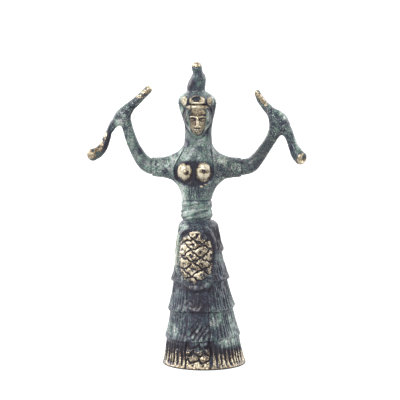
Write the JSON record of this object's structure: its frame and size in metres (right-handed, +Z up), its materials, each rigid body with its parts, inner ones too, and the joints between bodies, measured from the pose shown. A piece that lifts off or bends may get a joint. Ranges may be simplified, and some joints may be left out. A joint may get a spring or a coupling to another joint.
{
  "type": "snake goddess statuette",
  "caption": "Small cast bronze statuette of a snake goddess in a tiered, fluted skirt and apron, holding up a snake in each hand; stands on its flat underside as an ornament.",
  "frame": {"origin": "middle of the round hem, on the flat underside that it stands on", "axes": "+Z up, the figure faces -Y, +X to the viewer's right"},
  "size_m": [0.0718, 0.0273, 0.1],
  "materials": {
    "patinated_bronze": "cast bronze with a mottled green and dark slate patina, rubbed bright on the raised parts"
  },
  "bodies": {
    "root": {"statuette": "patinated_bronze"}
  },
  "joints": []
}
